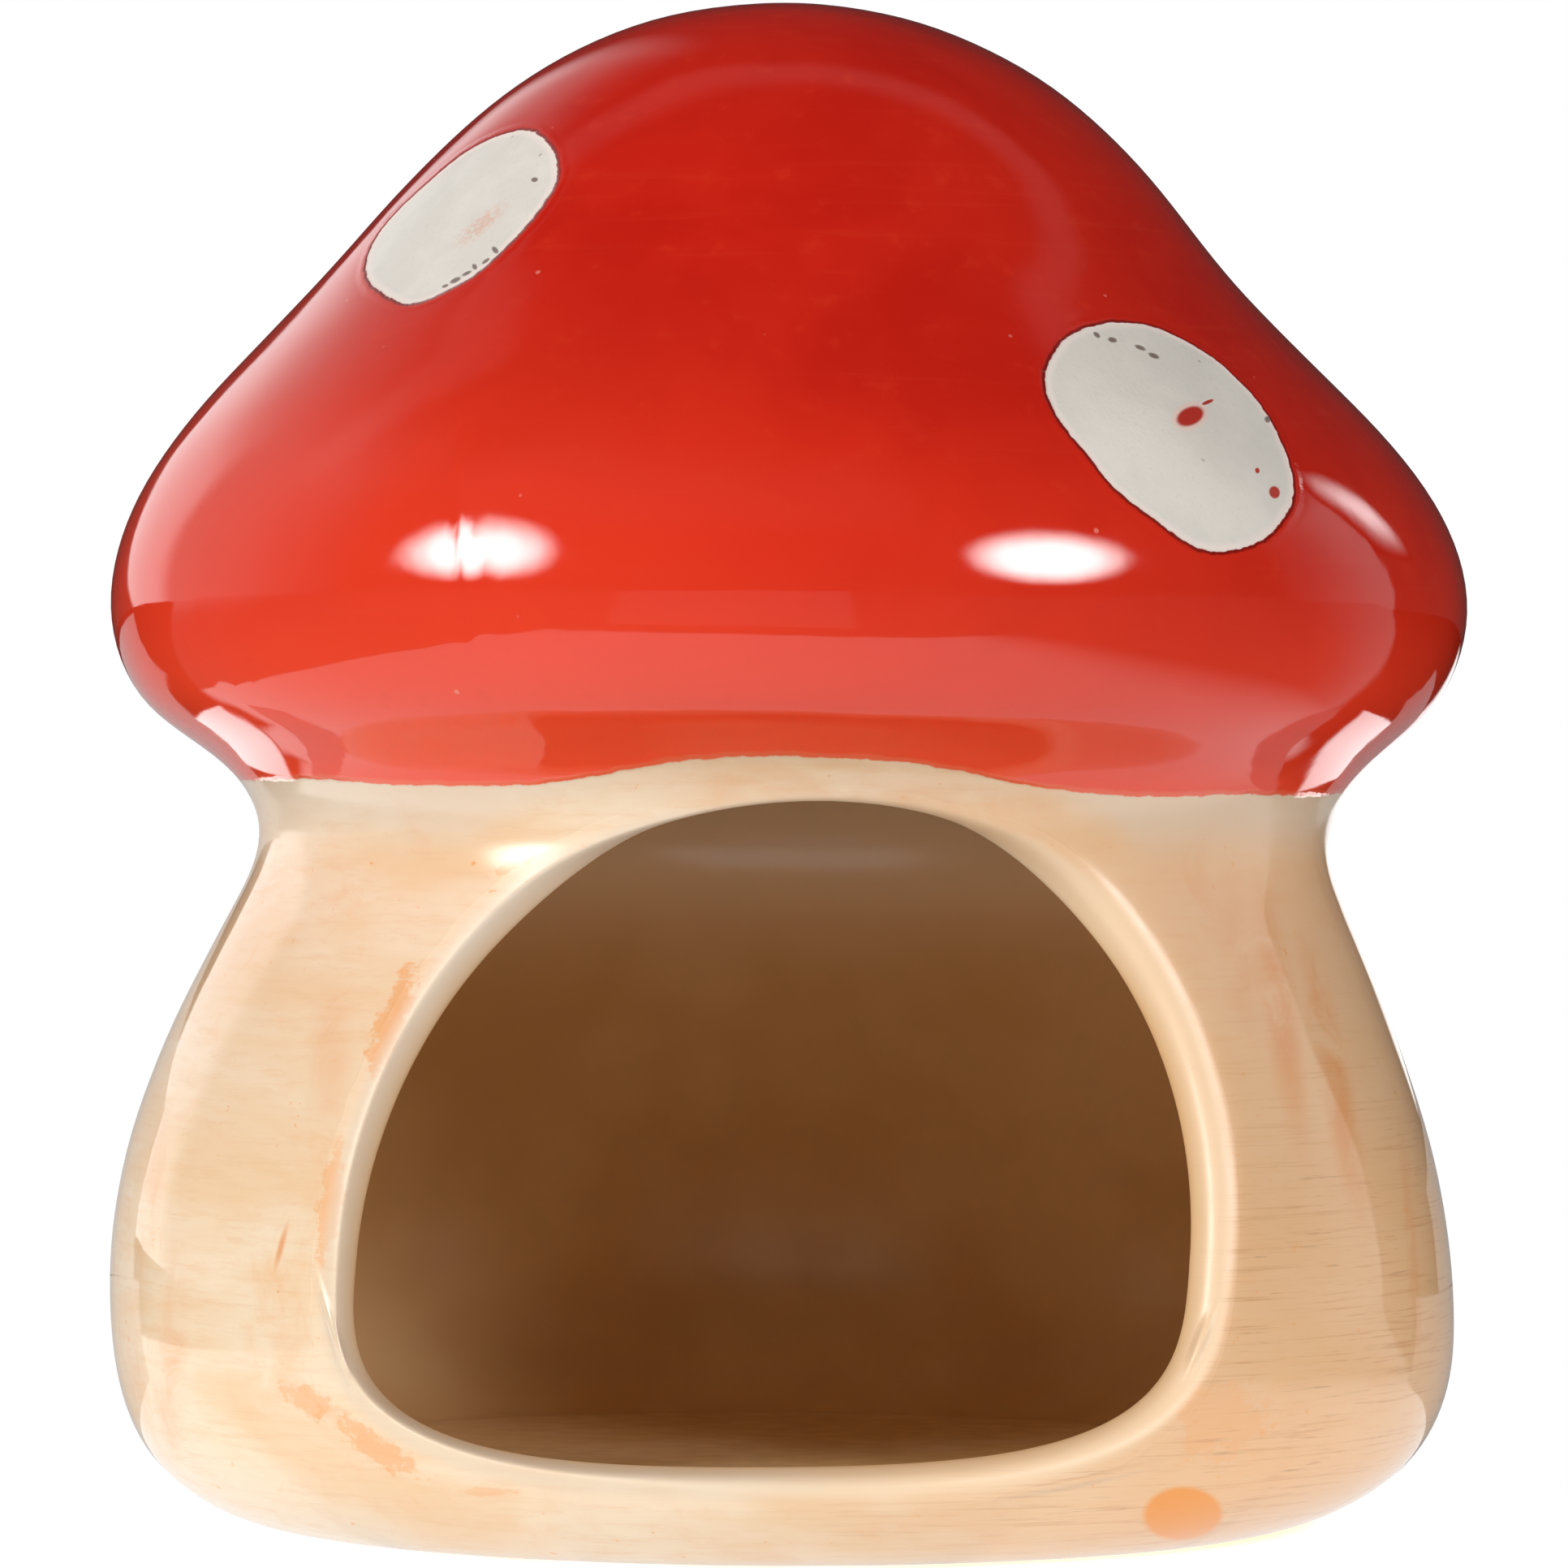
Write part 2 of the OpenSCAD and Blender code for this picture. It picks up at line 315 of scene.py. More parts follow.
def closed_curve(corners, per_side=10):
    """A smooth closed curve through the corners."""
    p = np.array(corners, float)
    t = np.linspace(0, 1, per_side, endpoint=False)[:, None]
    out = []
    for i in range(len(p)):
        a, b, c, d = p[i - 1], p[i], p[(i + 1) % len(p)], p[(i + 2) % len(p)]
        curved = 2 * a - 5 * b + 4 * c - d + t * (3 * (b - c) + d - a)
        out.append(b + 0.5 * t * (c - a + t * curved))
    return np.concatenate(out)


def polyline_distance(p, curve):
    """Distance of points p from a closed polyline in space."""
    best = np.full(len(p), 1e9)
    for a, b in zip(curve, np.roll(curve, -1, axis=0)):
        d = b - a
        t = np.clip((p - a) @ d / max(d @ d, 1e-9), 0, 1)
        best = np.minimum(best, ((p - a - t[:, None] * d) ** 2).sum(1))
    return np.sqrt(best)


def inside(px, py, curve):
    """Which of the points lie inside a closed curve."""
    hit = np.zeros(len(px), bool)
    for (x0, y0), (x1, y1) in zip(curve, np.roll(curve, -1, axis=0)):
        if y0 == y1:
            continue
        crosses = (y0 > py) != (y1 > py)
        hit ^= crosses & (px < x0 + (py - y0) * (x1 - x0) / (y1 - y0))
    return hit


# The two bare spots of the cap, as outlines in the front view (x, z in mm).
LEFT_SPOT = [(-24.3, 126.8), (-21.7, 125), (-20.9, 122), (-22.3, 119), (-24.9, 115.8), (-28, 112.9),
             (-31, 111.3), (-33.8, 110.4), (-36.1, 111.4), (-38, 113.2), (-38.1, 115.9),
             (-36.4, 119.1), (-32.6, 122.7), (-28.8, 125.5)]
RIGHT_SPOT = [(27.3, 108.6), (30.1, 108.9), (33, 108.4), (37.6, 106), (41.4, 102.2), (43.6, 97.8),
              (44.2, 94), (43.1, 91.5), (41, 89.4), (37.5, 88.3), (34.8, 88.7), (32.5, 90.2),
              (28.1, 93.5), (25.6, 96.6), (23.1, 99.7), (22, 102.6), (22.4, 104.7), (24.2, 107.2)]


def spot_distance():
    """Distance of each point from the nearest spot's outline, in mm and negative inside it."""
    away = np.full(len(points), 20.0)
    rows = slice(net + HIGH * COLUMNS, net + ROWS * COLUMNS)
    cap_u = np.repeat(np.arange(HIGH, ROWS) / PER_KNOT, COLUMNS)
    cap_a = np.tile(column_angles(), ROWS - HIGH) - 2 * np.pi
    fine_cap_u = np.linspace(brim_knot, last, 800)
    fine_cap_z = line(fine_cap_u)[0][:, 1]
    for corners in (LEFT_SPOT, RIGHT_SPOT):
        curve = closed_curve(corners)
        u = np.interp(curve[:, 1], fine_cap_z, fine_cap_u)
        p, _g = line(u)
        a = -np.arccos((curve[:, 0] - p[:, 2]) / p[:, 0])
        near = polyline_distance(points[rows], skin(u, a, np.zeros_like(u)))
        hit = inside(cap_a, cap_u, np.stack([a, u], 1))
        away[rows] = np.minimum(away[rows], np.where(hit, -near, near))
    return away


def smooth(value, low, high):
    """Smooth step from 0 at low to 1 at high. low may be the larger one."""
    t = np.clip((value - low) / (high - low), 0, 1)
    return t * t * (3 - 2 * t)


spot = spot_distance()
x, y, z = points.T
turn = np.arctan2(x, -y)
# Where the red ends: a nearly level line that rises over the doorway.
red_line = (67.6 - 0.008 * x + 2.5 * np.exp(-(((x - 0.5) / 18.0) ** 4)) * (y < 0)
            + 0.18 * np.sin(5 * turn + 0.8) + 0.1 * np.sin(13 * turn + 2.0))
above_red_line = (z - red_line) / 0.8
rim = np.minimum(polyline_distance(points, nose), 30.0)

# The casting is never quite even. The seam of its mould crosses the brim, and the bare spots lie a
# little deeper than the thick glaze round them.
wave = (0.075 * np.sin(x / 6.1 + 0.7 * np.sin(z / 9.3) + 1.1) * np.sin(z / 7.2 + y / 9.7 + 0.4)
        + 0.06 * np.sin((x + y) / 10.9 + z / 6.3) + 0.045 * np.sin(y / 5.7 - z / 11.1 + 2.0)
        + 0.022 * np.sin(x / 2.9 + z / 4.1 + 0.5) * np.sin(z / 3.3 - x / 5.3 + y / 3.7))
wave *= smooth(z, 3, 11) * (side < 0.01) * smooth(rim, 3, 8)
seam_x = -28.7 + 1.8 * smooth(z, 98, 80)
seam = (0.13 * np.exp(-(((x - seam_x) / 0.62) ** 2)) * smooth(z, 76, 82) * smooth(z, 104, 95)
        * (y < 0))
dip = 0.16 * smooth(spot, 1.2, -1.2)

mesh = bpy.data.meshes.new("house_shell")
mesh.from_pydata((points / 1000).tolist(), [], faces)
mesh.update()
normals = np.zeros(len(points) * 3)
mesh.vertices.foreach_get("normal", normals)
points = points + normals.reshape(-1, 3) * (wave + (seam - dip) * (side < 0.01))[:, None]
mesh.vertices.foreach_set("co", (points / 1000).ravel())
mesh.update()
fields = {"side": side, "spot": spot, "above_red_line": above_red_line, "rim": rim}
for name, values in fields.items():
    mesh.attributes.new(name, "FLOAT", "POINT").data.foreach_set("value", values)
mesh.polygons.foreach_set("use_smooth", [True] * len(mesh.polygons))
house = bpy.data.objects.new("house_shell", mesh)
bpy.context.scene.collection.objects.link(house)
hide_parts("house")
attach(house, "root")


class Graph:
    def __init__(self, tree):
        self.tree = tree
        tree.nodes.clear()

    def add(self, kind, inputs=None, **props):
        node = self.tree.nodes.new(kind)
        for key, value in props.items():
            setattr(node, key, value)
        for key, value in (inputs or {}).items():
            self.put(node.inputs[key], value)
        return node

    def put(self, socket, value):
        if isinstance(value, bpy.types.NodeSocket):
            self.tree.links.new(value, socket)
        elif isinstance(value, tuple) and len(value) == 3 and len(socket.default_value) == 4:
            socket.default_value = (*value, 1)
        else:
            socket.default_value = value

    def math(self, op, a, b=0.0):
        return self.add("ShaderNodeMath", {0: a, 1: b}, operation=op).outputs[0]

    def chain(self, op, first, *others):
        for other in others:
            first = self.math(op, first, other)
        return first

    def most(self, *values):
        return self.chain("MAXIMUM", *values)

    def times(self, *values):
        return self.chain("MULTIPLY", *values)

    def sum(self, *values):
        return self.chain("ADD", *values)

    def step(self, value, low, high, to_low=0.0, to_high=1.0):
        """Smooth step from to_low at low to to_high at high. low may be the larger one."""
        if low > high:
            low, high, to_low, to_high = high, low, to_high, to_low
        ends = {"Value": value, "From Min": low, "From Max": high, "To Min": to_low,
                "To Max": to_high}
        return self.add("ShaderNodeMapRange", ends, interpolation_type="SMOOTHSTEP").outputs[0]

    def window(self, value, low, high, soft):
        return self.times(self.step(value, low - soft, low + soft),
                          self.step(value, high + soft, high - soft))

    def mix(self, share, a, b):
        return self.add("ShaderNodeMix", {0: share, 6: a, 7: b}, data_type="RGBA").outputs[2]

    def noise(self, vector, scale, detail=2.0, rough=0.5, warp=0.0):
        inputs = {"Vector": vector, "Scale": scale, "Detail": detail, "Roughness": rough,
                  "Distortion": warp}
        return self.add("ShaderNodeTexNoise", inputs).outputs[0]

    def cells(self, vector, scale, channel, least):
        """Distance from the nearest of the scattered points, and 1 round those that are chosen."""
        node = self.add("ShaderNodeTexVoronoi", {"Vector": vector, "Scale": scale})
        pick = self.add("ShaderNodeSeparateColor", {0: node.outputs["Color"]}).outputs[channel]
        return node.outputs["Distance"], self.step(pick, least, least + 0.02)

    def mapped(self, vector, location=(0, 0, 0), turn=0.0, scale=(1, 1, 1), kind="POINT"):
        inputs = {"Vector": vector, "Location": location, "Rotation": (0, math.radians(turn), 0),
                  "Scale": scale}
        return self.add("ShaderNodeMapping", inputs, vector_type=kind).outputs[0]

    def length(self, vector):
        return self.add("ShaderNodeVectorMath", {0: vector}, operation="LENGTH").outputs["Value"]

    def attribute(self, name):
        return self.add("ShaderNodeAttribute", attribute_name=name).outputs["Fac"]


def colour(red, green, blue):
    """The linear value of a colour that is written in sRGB, 0 to 255."""
    return tuple(v / 255 / 12.92 if v <= 10 else ((v / 255 + 0.055) / 1.055) ** 2.4
                 for v in (red, green, blue))


class Glaze(Graph):
    """A glazed or bare ceramic surface. Lengths are in mm."""

    def __init__(self, tree):
        super().__init__(tree)
        where = self.add("ShaderNodeTexCoord").outputs["Object"]
        self.mm = self.mapped(where, scale=(1000, 1000, 1000))
        self.x, self.y, self.z = self.add("ShaderNodeSeparateXYZ", {0: self.mm}).outputs

    def mark(self, cx, cz, wide, high, tilt=0.0, soft=0.3):
        """1 inside a tilted ellipse of the front view, given by its middle and half-widths."""
        place = self.mapped(self.mm, (cx, 0, cz), -tilt, (wide, 1e6, high), "TEXTURE")
        return self.times(self.step(self.length(place), 1 + soft, 1 - soft),
                          self.step(self.y, 1.0, -1.0))

    def streaks(self, across, along, detail=3.0, rough=0.6):
        """Fine level brush strokes."""
        return self.noise(self.mapped(self.mm, scale=(along, along, across)), 1.0, detail, rough)

    def red(self):
        """Red glaze: deep where it is thick, more orange where it ran thin. Thinner glaze and
        painted light make it lighter and more orange towards the bottom and the left, and painted
        light makes it lighter still low on the brim.
        """
        mm, z = self.mm, self.z
        broad = self.noise(mm, 0.045, 3.0, 0.55, 0.4)
        red = self.mix(self.step(broad, 0.35, 0.68), colour(196, 27, 13), colour(208, 36, 19))
        # Thinner glaze and painted light: the red is lighter and more orange towards the bottom and
        # the left.
        left = self.math("MINIMUM", self.x, 0.0)
        thin = self.step(self.sum(z, self.times(left, 0.4), self.times(self.x, 0.1)), 112, 64)
        red = self.mix(self.times(thin, 0.8), red, colour(236, 64, 37))
        # Painted light: the red is lighter and more orange low on the brim, most of all on the
        # left, as if lit from the floor below.
        painted_light_low = self.times(self.step(z, 86, 72), self.step(self.x, 45, -30, 0.3, 1.0))
        red = self.mix(self.times(painted_light_low, 0.8), red, colour(246, 76, 44))
        patchy = self.noise(mm, 0.35, 4.0, 0.6)
        red = self.mix(self.times(self.step(patchy, 0.55, 0.8), 0.3), red, colour(226, 62, 34))
        brushed = self.step(self.streaks(1.3, 0.05), 0.58, 0.75)
        red = self.mix(self.times(brushed, 0.08), red, colour(228, 78, 50))
        distance, chosen = self.cells(mm, 0.14, 0, 0.62)
        pinhole = self.times(self.step(distance, 0.045, 0.02), chosen, 0.6)
        return self.mix(pinhole, red, colour(240, 150, 130))

    def spots(self, red):
        """Bare pale spots with marks. The paler edge inside each spot is a painted highlight, and
        the dark line where the glaze ends is thicker glaze with painted shade.
        """
        mm = self.mm
        ragged = self.times(self.noise(mm, 0.8, 3.0, 0.6), 0.5)
        self.spot_edge = self.sum(self.attribute("spot"), ragged, -0.25)
        self.in_spot = self.step(self.spot_edge, 0.06, -0.06)
        self.grain = self.noise(mm, 2.2, 3.0, 0.7)
        distance, chosen = self.cells(mm, 0.5, 1, 0.8)
        near = self.step(self.spot_edge, 9.0, 1.0)
        pinhole = self.times(self.step(distance, 0.12, 0.06), chosen, near, 0.6)
        red = self.mix(pinhole, red, colour(240, 150, 130))
        pale = self.mix(self.step(self.noise(mm, 0.12, 3.0, 0.6), 0.4, 0.65), colour(229, 222, 212),
                        colour(237, 230, 220))
        pale = self.mix(self.times(self.step(self.grain, 0.55, 0.75), 0.2), pale,
                        colour(186, 178, 166))
        distance, chosen = self.cells(mm, 0.33, 2, 0.55)
        pale = self.mix(self.times(self.step(distance, 0.085, 0.03), chosen, 0.5), pale,
                        colour(130, 112, 92))
        # Painted highlight: a paler band just inside the spot's edge.
        pale = self.mix(self.times(self.step(self.spot_edge, -0.95, -0.3), 0.7), pale,
                        colour(250, 234, 224))
        surface = self.mix(self.in_spot, red, pale)
        # Thicker glaze and painted shade: a dark line on the red where the glaze steps down to the
        # spot.
        thick_glaze_and_shade = self.times(self.step(self.spot_edge, -0.05, 0.08),
                               self.step(self.spot_edge, 0.42, 0.2), 0.8)
        surface = self.mix(thick_glaze_and_shade, surface, colour(110, 10, 8))
        pits = self.most(*(self.mark(*pit) for pit in PITS))
        surface = self.mix(self.times(pits, 0.8), surface, colour(88, 52, 38))
        ring = self.times(self.mark(34.9, 100.3, 1.75, 1.2, 28, 0.2), self.in_spot, 0.8)
        surface = self.mix(ring, surface, colour(246, 210, 196))
        flecks = self.most(*(self.mark(*fleck, 0.18) for fleck in RED_FLECKS))
        surface = self.mix(flecks, surface, colour(190, 44, 30))
        smudge = self.times(self.mark(-27.6, 117.6, 2.4, 0.7, 40, 0.7),
                            self.step(self.grain, 0.35, 0.6), 0.5)
        return self.mix(smudge, surface, colour(226, 150, 110))

    def cream(self):
        """The stem: a thin straw-coloured wash brushed on under clear glaze."""
        mm, x, z = self.mm, self.x, self.z
        wash = self.noise(self.mapped(mm, scale=(0.5, 0.5, 1.6)), 0.05, 4.0, 0.6, 0.6)
        cream = self.mix(self.step(wash, 0.38, 0.64), colour(239, 215, 184), colour(235, 199, 157))
        brushed = self.step(self.streaks(1.2, 0.14, 5.0, 0.7), 0.46, 0.7)
        cream = self.mix(self.times(brushed, 0.42), cream, colour(230, 184, 138))
        tan = self.mix(self.step(z, 30, 50), colour(228, 178, 129), colour(236, 190, 144))
        cream = self.mix(self.times(self.step(x, -6, 46), 0.8), cream, tan)
        self.blotch = self.noise(mm, 0.11, 5.0, 0.65, 0.8)
        cream = self.mix(self.times(self.step(self.blotch, 0.52, 0.7), 0.4), cream,
                         colour(234, 182, 134))
        low_right = self.times(self.step(z, 58, 20), self.step(x, -10, 34, 0.15, 1.0))
        hair = self.times(self.step(self.streaks(2.6, 0.06, 4.0, 0.7), 0.52, 0.68), low_right, 0.45)
        cream = self.mix(hair, cream, colour(196, 138, 92))
        hair = self.times(self.step(self.streaks(4.2, 0.1, 3.0, 0.7), 0.62, 0.72), low_right, 0.45)
        cream = self.mix(hair, cream, colour(140, 100, 72))
        uneven = self.step(self.blotch, 0.3, 0.55)
        for *place, much in STREAKS:
            cream = self.mix(self.times(self.mark(*place, 0.8), much, uneven), cream,
                             colour(226, 146, 82))
        rim = self.attribute("rim")
        ragged = self.sum(self.times(self.noise(mm, 0.55, 5.0, 0.7), 2.2),
                          self.times(self.streaks(2.2, 0.3), 0.8))
        for *place, much in RIM_PATCHES:
            patch = self.step(self.sum(self.mark(*place, 0.9), ragged), 1.85, 2.25)
            cream = self.mix(self.times(patch, self.step(rim, 2.0, 2.6), much), cream,
                             colour(234, 164, 102))
        cream = self.mix(self.mark(*ORANGE_DAB, 0.12), cream, colour(234, 150, 62))
        under_cap = self.times(self.step(self.above_red_line, -9.0, -1.5), self.step(rim, 5, 9),
                               0.55)
        cream = self.mix(under_cap, cream, colour(228, 214, 196))
        lip = self.mix(self.step(z, 34, 52), colour(218, 200, 176), colour(230, 214, 194))
        lip = self.mix(self.step(x, -12, 20), lip, colour(236, 206, 170))
        return self.mix(self.times(self.step(rim, 3.0, 2.2), 0.8), cream, lip)

    def surface(self, layers):
        """Colour of the layers that a part of the house shows."""
        if {"red", "cream"} & layers:
            self.above_red_line = self.attribute("above_red_line")
        out = self.cream() if "cream" in layers else None
        if "red" in layers:
            red = self.red()
            red = self.spots(red) if "spots" in layers else red
            if out is None:
                out = red
            else:
                ragged = self.noise(self.mm, 0.5, 3.0, 0.6)
                self.red_edge = self.sum(self.above_red_line, self.times(ragged, 0.7), -0.35)
                red = self.mix(self.times(self.step(self.above_red_line, 5.0, 0.6), 0.6), red,
                               colour(244, 80, 50))
                out = self.mix(self.step(self.red_edge, -0.1, 0.1), out, red)
                thin = self.times(self.step(self.red_edge, -0.1, 0.05),
                                  self.step(self.red_edge, 0.7, 0.3), 0.5)
                out = self.mix(thin, out, colour(240, 120, 84))
        if "inside" in layers:
            # Painted shade: the cream inside is darkened to tan, most of all low down, and is paler
            # towards the top.
            cloud = self.noise(self.mm, 0.05, 2.0, 0.5)
            inner = self.mix(self.step(cloud, 0.35, 0.65), colour(230, 193, 144),
                             colour(222, 180, 126))
            inner = self.mix(self.step(self.z, 46, 66), inner, colour(247, 226, 194))
            if out is None:
                out = inner
            else:
                out = self.mix(self.step(self.attribute("side"), 0.3, 0.8), out, inner)
        if "bare" in layers:
            self.grain = self.noise(self.mm, 2.2, 3.0, 0.7)
            out = self.mix(self.step(self.grain, 0.4, 0.7), colour(226, 216, 200),
                           colour(208, 194, 174))
        return out

    def relief(self, layers):
        """Height of the fine relief, in units of 0.12 mm."""
        parts = [self.times(self.noise(self.mm, 0.22, 2.0, 0.5), 0.16)]
        if "spots" in layers:
            parts += [self.times(self.step(self.spot_edge, -0.25, 0.3), 0.9),
                      self.times(self.window(self.spot_edge, 0.3, 0.9, 0.4), 0.35),
                      self.times(self.in_spot, self.grain, 0.25)]
        if {"red", "cream"} <= layers:
            parts.append(self.times(self.step(self.red_edge, -0.3, 0.4), 0.5))
        if layers == {"cream", "inside"}:
            parts += [self.times(self.mark(*place, 0.9), height) for *place, height in RUNS]
        if "bare" in layers:
            parts.append(self.times(self.grain, 0.5))
        return self.sum(*parts)


# Marks in the front view: x, z, half-width, half-height (mm) and tilt (degrees).
PITS = [(-26.2, 115.1, 0.22, 0.4, 40), (-27, 114.1, 0.4, 0.16, 35), (-28, 113.6, 0.2, 0.3, 30),
        (-28.7, 113, 0.45, 0.16, 25), (-29.7, 112.4, 0.5, 0.22, 25), (-30.6, 111.9, 0.3, 0.14, 20),
        (-22.9, 121.7, 0.3, 0.22, 0), (26.8, 107.5, 0.35, 0.2, -40), (28.2, 107.1, 0.4, 0.24, -10),
        (30.7, 106.5, 0.5, 0.2, -20), (31.9, 105.8, 0.5, 0.22, -20), (42.1, 100.4, 0.26, 0.3, 0)]
RED_FLECKS = [(34.9, 100.3, 1.35, 0.8, 28), (36.6, 101.7, 0.6, 0.16, 25),
              (42.3, 93.7, 0.5, 0.55, 0), (40.8, 95.6, 0.2, 0.25, 0)]
# Orange brush marks on the stem, with their strength last.
STREAKS = [(43.6, 48, 1.3, 9, 8, 0.6), (48.6, 42, 1.2, 9.5, 10, 0.65), (56.0, 27, 0.5, 8, 4, 0.35),
           (-54.5, 17, 1.2, 8, -4, 0.4), (-57, 30, 0.8, 7, -8, 0.3),
           (-44.0, 27.5, 0.25, 1.7, -15, 0.8),
           (40, 53, 1.5, 6, 5, 0.25), (-40, 44, 1.5, 5, 0, 0.25), (5, 67.2, 15, 2.8, -6, 0.3)]
ORANGE_DAB = (34.7, 4.5, 3.6, 2.7, -14)
# Orange patches that the wash left beside the doorway, with their strength last.
RIM_PATCHES = [(-34.4, 47.2, 1.3, 5.2, -19, 0.75), (-39.6, 31, 1.0, 5.2, -8, 0.6),
               (-41.4, 14.4, 3.0, 1.1, -20, 0.55), (-35.6, 10.6, 4.6, 1.1, -30, 0.65),
               (-23.6, 61, 2.6, 0.5, 34, 0.6), (-25.8, 7, 2.2, 0.4, 4, 0.4),
               (37.5, 13, 4.0, 3.4, 0, 0.35)]
# Raised runs of glaze round the doorway, with their height last.
RUNS = [(35.8, 19.9, 0.4, 2.3, -22, 2.4), (25.4, 8.3, 5.8, 0.4, 10, 2.4),
        (-39.0, 19.8, 0.4, 4.0, 18, 2.4)]


def glaze(name, *layers):
    layers = set(layers)
    material = bpy.data.materials.new(name)
    material.use_nodes = True
    g = Glaze(material.node_tree)
    surface = g.surface(layers)
    shine = g.noise(g.mm, 0.3, 2.0, 0.5)
    rough = g.step(shine, 0.3, 0.75, 0.03, 0.08)
    if "cream" in layers:
        lip = g.step(g.attribute("rim"), 4.5, 2.5, 0.0, 0.36)
        neck = g.times(g.window(g.above_red_line, -7.0, -1.0, 2.0), 0.12)
        shoulder = g.times(g.mark(-22.6, 62.2, 8.0, 4.0, -25, 0.9), 0.18)
        shiny = g.most(*(g.mark(*place, 0.6) for *place, _height in RUNS))
        rough = g.sum(rough, g.times(g.most(lip, neck, shoulder), g.math("SUBTRACT", 1.0, shiny)))
    if "inside" in layers:
        rough = g.sum(rough, g.times(g.step(g.attribute("side"), 0.6, 0.9), 0.16))
    if "spots" in layers:
        rough = g.sum(g.times(rough, g.math("SUBTRACT", 1.0, g.in_spot)), g.times(g.in_spot, 0.4))
    if "bare" in layers:
        rough = 0.8
    bump = g.add("ShaderNodeBump", {"Height": g.relief(layers), "Strength": 1.0,
                                    "Distance": 0.00012})
    finish = {"Base Color": surface, "Roughness": rough, "IOR": 1.6, "Normal": bump.outputs[0]}
    shader = g.add("ShaderNodeBsdfPrincipled", finish)
    g.add("ShaderNodeOutputMaterial", {0: shader.outputs[0]})
    return material


def dress():
    """Gives each face the simplest finish that shows there. Where two meet they look the same."""
    finishes = [glaze("red_glaze", "red"), glaze("bare_spots", "red", "spots"),
                glaze("red_over_cream", "red", "cream"), glaze("cream_glaze", "cream", "inside"),
                glaze("inner_glaze", "inside"), glaze("bare_clay", "bare")]
    for finish in finishes:
        mesh.materials.append(finish)
    count = np.zeros(len(mesh.polygons), int)
    mesh.polygons.foreach_get("loop_total", count)
    corner = np.zeros(len(mesh.loops), int)
    mesh.loops.foreach_get("vertex_index", corner)
    first = np.concatenate([[0], np.cumsum(count)[:-1]])

    def least(values):
        return np.minimum.reduceat(values[corner], first)

    choice = np.full(len(count), 3)
    choice[least(above_red_line) > -1.5] = 2
    choice[least(above_red_line) > 7.0] = 0
    choice[least(spot) < 3.0] = 1
    choice[least(side) > 0.0] = 3
    choice[least(side) > 0.9] = 4
    choice[-least(-side) > 1.5] = 5
    mesh.polygons.foreach_set("material_index", choice)


dress()

# Floor, light and camera.
scene = bpy.context.scene
# The point that the soft lights face, inside the house behind its front.
LIT_POINT = Vector((0, -0.04, 0.085))


def floor_material():
    """White paper where the object stands, as its glaze shows it, with a dark room round it."""
    material = bpy.data.materials.new("floor")
    material.use_nodes = True
    g = Graph(material.node_tree)
    where = g.add("ShaderNodeTexCoord").outputs["Object"]
    x, y, _z = g.add("ShaderNodeSeparateXYZ", {0: where}).outputs
    # The paper ends on slanted lines behind the object, with a narrower tail between them.
    ends = g.most(g.times(x, -0.65), g.sum(g.times(x, 0.55), -0.02))
    front = g.step(g.math("SUBTRACT", y, ends), 0.008, -0.008)
    lit = g.most(front, g.step(g.math("ABSOLUTE", x), 0.106, 0.1))
    paper = g.times(lit, g.step(x, -0.162, -0.158), g.step(x, 0.17, 0.09),
                    g.step(y, -0.212, -0.208))
    turn = g.times(g.math("ARCTAN2", x, g.times(y, -1.0)), 180 / math.pi)
    beside = g.most(g.step(turn, -122, -134, 0.0, 0.9), g.step(turn, 88, 116, 0.12, 0.6))
    ahead = g.times(g.window(turn, -27, 10, 1), g.step(y, -0.24, -0.27), 0.4)
    away = g.times(g.step(turn, -70, -110, 0.0, 0.5), g.step(g.length(where), 0.3, 2.0, 0.25, 1.0))
    path = g.add("ShaderNodeLightPath").outputs
    tone = g.mix(paper, (0.05, 0.05, 0.05), (0.86, 0.86, 0.86))
    tone = g.mix(path["Is Camera Ray"], tone, (2.6, 2.6, 2.6))
    matt = g.add("ShaderNodeBsdfDiffuse", {"Color": tone})
    near = g.step(g.length(where), 0.3, 0.22, 0.1, 1.0)
    mirrored = g.most(g.times(paper, near, g.step(y, -0.05, 0.08, 1.05, 1.2)),
                      g.times(front, g.most(beside, away)), ahead)
    mirrored = g.times(path["Is Glossy Ray"], mirrored)
    glow = g.most(path["Is Camera Ray"], mirrored, g.times(path["Is Diffuse Ray"], 1.2))
    white = g.add("ShaderNodeEmission", {"Color": (1, 1, 1, 1), "Strength": glow})
    far = g.times(path["Is Camera Ray"], g.step(g.length(where), 0.06, 0.085))
    share = g.sum(far, g.times(path["Is Glossy Ray"], 0.8),
                  g.times(path["Is Diffuse Ray"], paper, 0.8))
    both = g.add("ShaderNodeMixShader", {0: share, 1: matt.outputs[0], 2: white.outputs[0]})
    g.add("ShaderNodeOutputMaterial", {0: both.outputs[0]})
    return material


bpy.ops.mesh.primitive_plane_add(size=6)
floor = bpy.context.object
floor.name = "floor"
floor.data.materials.append(floor_material())


